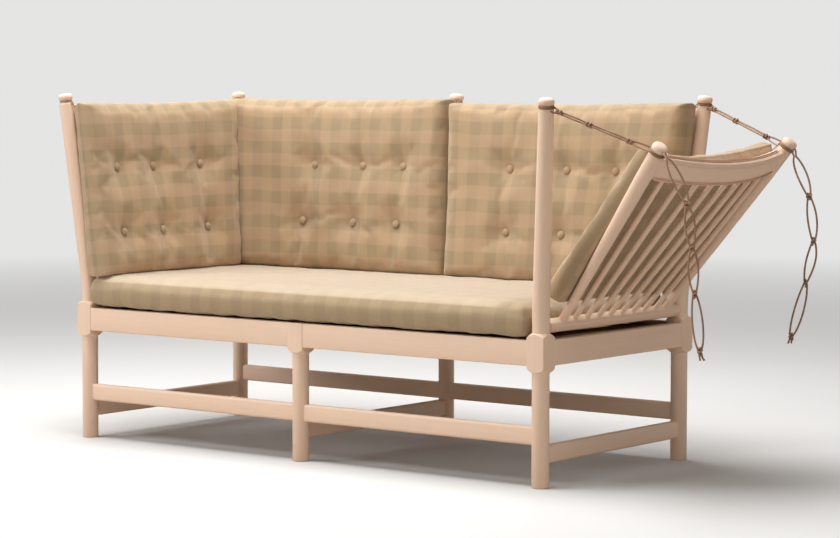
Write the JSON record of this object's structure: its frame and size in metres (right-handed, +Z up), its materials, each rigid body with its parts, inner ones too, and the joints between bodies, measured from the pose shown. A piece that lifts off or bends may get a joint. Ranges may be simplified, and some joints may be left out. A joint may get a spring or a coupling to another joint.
{
  "type": "spoke-back sofa",
  "caption": "Spoke-back sofa in pale wood with turned posts, loose buttoned cushions and one side arm that drops outwards on knotted leather cords.",
  "frame": {"origin": "on the floor under the middle of the sofa's outer box, its free cords left out", "axes": "+Z up, front towards -Y, +X towards the drop arm at the sitter's left"},
  "size_m": [1.9248, 0.7282, 0.8806],
  "materials": {
    "beech": "soaped, matt",
    "check_cloth": "woven wool check",
    "strap_web": "woven jute webbing",
    "lace_leather": "dry tan leather lace",
    "pin_steel": "turned"
  },
  "bodies": {
    "frame": {"leg_front_left": "beech", "leg_front_middle": "beech", "leg_front_right": "beech", "leg_rear_left": "beech", "leg_rear_middle": "beech", "leg_rear_right": "beech", "seat_rail_front_left": "beech", "seat_rail_front_right": "beech", "seat_rail_back_left": "beech", "seat_rail_back_right": "beech", "seat_rail_side_left": "beech", "seat_rail_side_middle": "beech", "seat_rail_side_right": "beech", "stretcher_front_left": "beech", "stretcher_front_right": "beech", "stretcher_back_left": "beech", "stretcher_back_right": "beech", "stretcher_side_left": "beech", "stretcher_side_middle": "beech", "stretcher_side_right": "beech", "seat_straps_left": "strap_web", "seat_straps_right": "strap_web", "spoke_comb_arm_left": "beech", "spoke_comb_back_left": "beech", "spoke_comb_back_right": "beech", "top_rail_arm_left": "beech", "top_rail_back_left": "beech", "top_rail_back_right": "beech", "hinge_pin_front": "pin_steel", "hinge_pin_rear": "pin_steel", "cushion_seat": "check_cloth", "cushion_back_left": "check_cloth", "cushion_back_right": "check_cloth", "cushion_arm_left": "check_cloth", "cord_front_post_loop": "lace_leather", "cord_rear_post_loop": "lace_leather"},
    "drop_arm": {"drop_arm_foot_rail": "beech", "drop_arm_top_rail": "beech", "drop_arm_stile_front": "beech", "drop_arm_stile_rear": "beech", "drop_arm_spoke_1": "beech", "drop_arm_spoke_2": "beech", "drop_arm_spoke_3": "beech", "drop_arm_spoke_4": "beech", "drop_arm_spoke_5": "beech", "drop_arm_spoke_6": "beech", "drop_arm_spoke_7": "beech", "drop_arm_spoke_8": "beech", "cushion_drop_arm": "check_cloth", "cord_front_arm_loop": "lace_leather", "cord_rear_arm_loop": "lace_leather"},
    "stay_front": {"cord_front_stay": "lace_leather"},
    "stay_end_front": {"cord_front_last_knot": "lace_leather"},
    "tail_front": {"cord_front_tail": "lace_leather"},
    "stay_rear": {"cord_rear_stay": "lace_leather"},
    "stay_end_rear": {"cord_rear_last_knot": "lace_leather"},
    "tail_rear": {"cord_rear_tail": "lace_leather"}
  },
  "joints": [
    {"name": "arm_hinge", "type": "hinge", "parent": "frame", "child": "drop_arm", "pos_m": [0.58375, -0.01302, 0.365], "axis": [0, 1, 0], "range_deg": [-32, 53]},
    {"name": "stay_swing_front", "type": "hinge", "parent": "frame", "child": "stay_front", "pos_m": [0.62477, -0.34482, 0.85891], "axis": [0, 1, 0], "range_deg": [-16, 26.5], "deforming": ["cord_front_stay"]},
    {"name": "stay_reach_front", "type": "slide", "parent": "stay_front", "child": "stay_end_front", "axis": [0.9363, 0, -0.3513], "range_m": [-0.2465, 0.4085], "deforming": ["cord_front_last_knot"]},
    {"name": "tail_hang_front", "type": "hinge", "parent": "drop_arm", "child": "tail_front", "pos_m": [0.88294, -0.29173, 0.76204], "axis": [0, 1, 0], "range_deg": [-53, 32], "deforming": ["cord_front_tail"]},
    {"name": "stay_swing_rear", "type": "hinge", "parent": "frame", "child": "stay_rear", "pos_m": [0.62477, 0.31878, 0.85891], "axis": [0, 1, 0], "range_deg": [-16, 26.5], "deforming": ["cord_rear_stay"]},
    {"name": "stay_reach_rear", "type": "slide", "parent": "stay_rear", "child": "stay_end_rear", "axis": [0.9363, 0, -0.3513], "range_m": [-0.2465, 0.4085], "deforming": ["cord_rear_last_knot"]},
    {"name": "tail_hang_rear", "type": "hinge", "parent": "drop_arm", "child": "tail_rear", "pos_m": [0.88294, 0.26569, 0.76204], "axis": [0, 1, 0], "range_deg": [-53, 32], "deforming": ["cord_rear_tail"]}
  ],
  "couplings": [
    {"joint": "stay_swing_front", "follows": "arm_hinge", "ratio": 0.5},
    {"joint": "stay_reach_front", "follows": "arm_hinge", "m_per_rad": 0.441},
    {"joint": "tail_hang_front", "follows": "arm_hinge", "ratio": -1},
    {"joint": "stay_swing_rear", "follows": "arm_hinge", "ratio": 0.5},
    {"joint": "stay_reach_rear", "follows": "arm_hinge", "m_per_rad": 0.441},
    {"joint": "tail_hang_rear", "follows": "arm_hinge", "ratio": -1}
  ]
}
